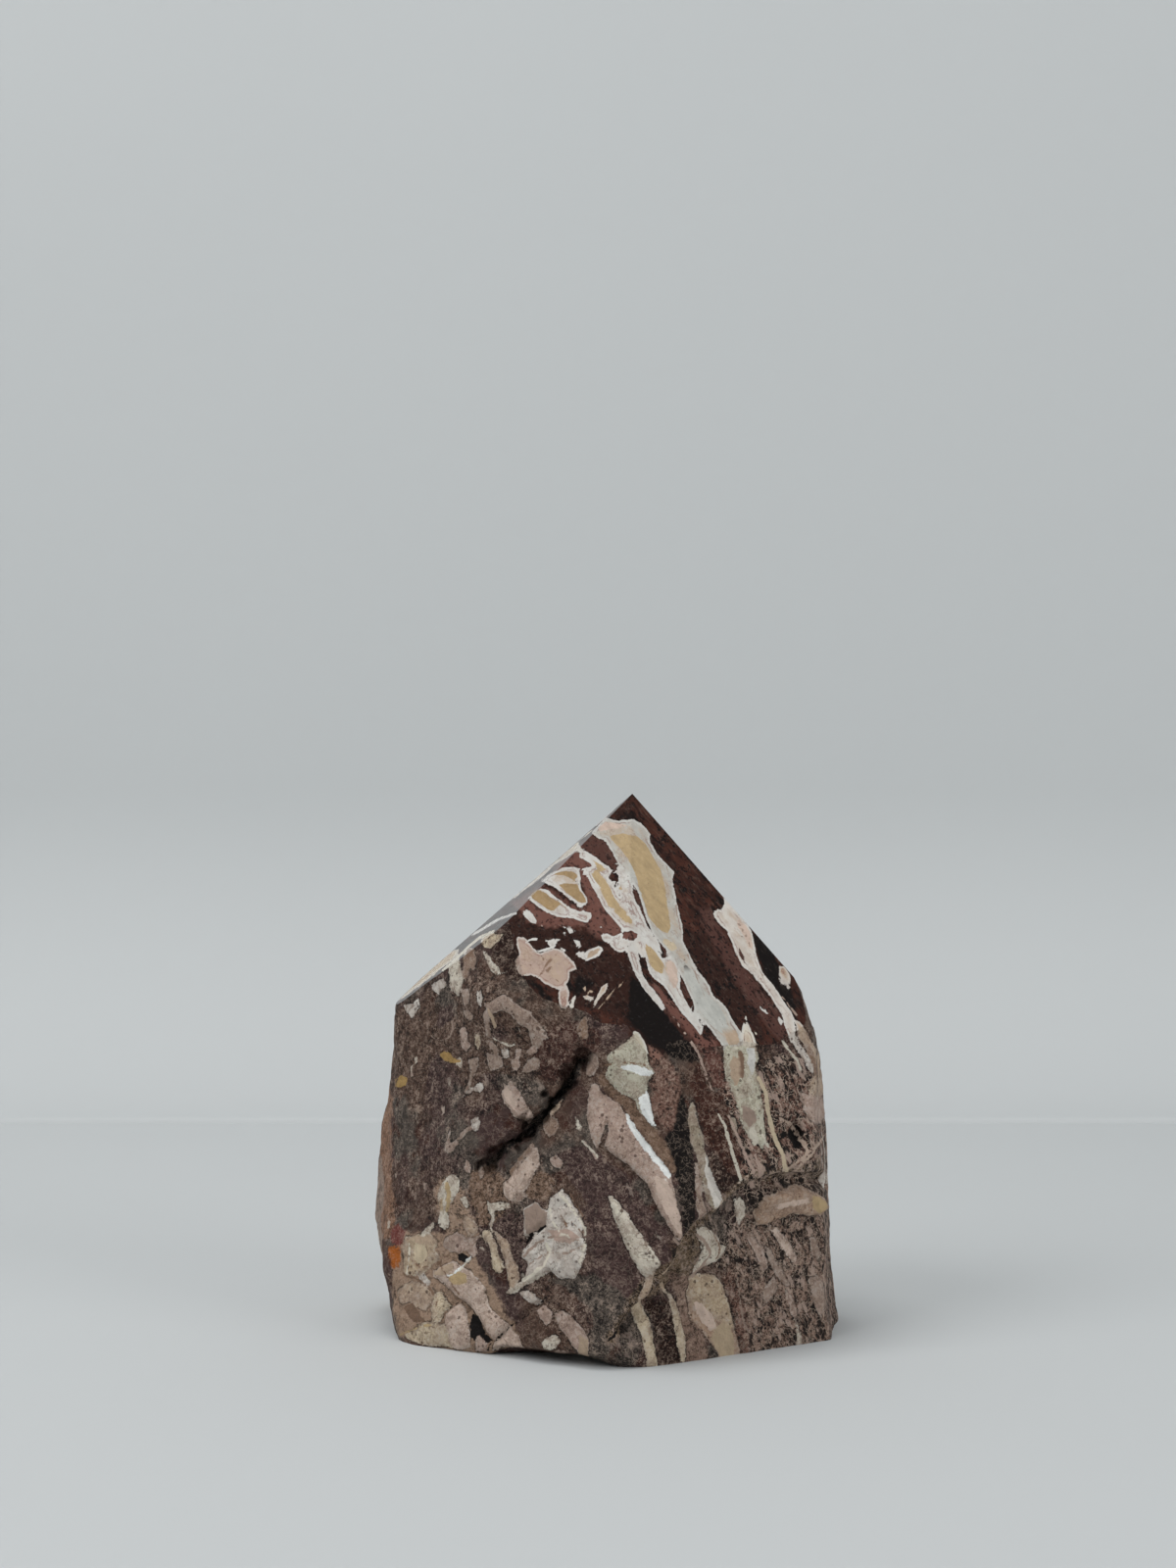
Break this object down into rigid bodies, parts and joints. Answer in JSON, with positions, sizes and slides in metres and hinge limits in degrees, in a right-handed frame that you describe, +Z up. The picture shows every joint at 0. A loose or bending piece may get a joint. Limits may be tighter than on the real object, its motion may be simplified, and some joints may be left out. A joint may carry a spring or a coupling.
{
  "type": "zebra jasper point",
  "caption": "Pointed lump of banded breccia stone with rough broken sides, polished facets that meet at a tip, and a base cut flat so that it stands.",
  "frame": {"origin": "the middle of the stone's bounding box, on the flat base that it stands on", "axes": "+Z up, from the base to the tip; the ridge between the two widest polished facets faces -Y, and the low end of the slanting top is towards -X"},
  "size_m": [0.0892, 0.0672, 0.1002],
  "materials": {
    "stone": "polished on the facets, rough and matt on the sides"
  },
  "bodies": {
    "root": {"zebra_jasper": "stone"}
  },
  "joints": []
}
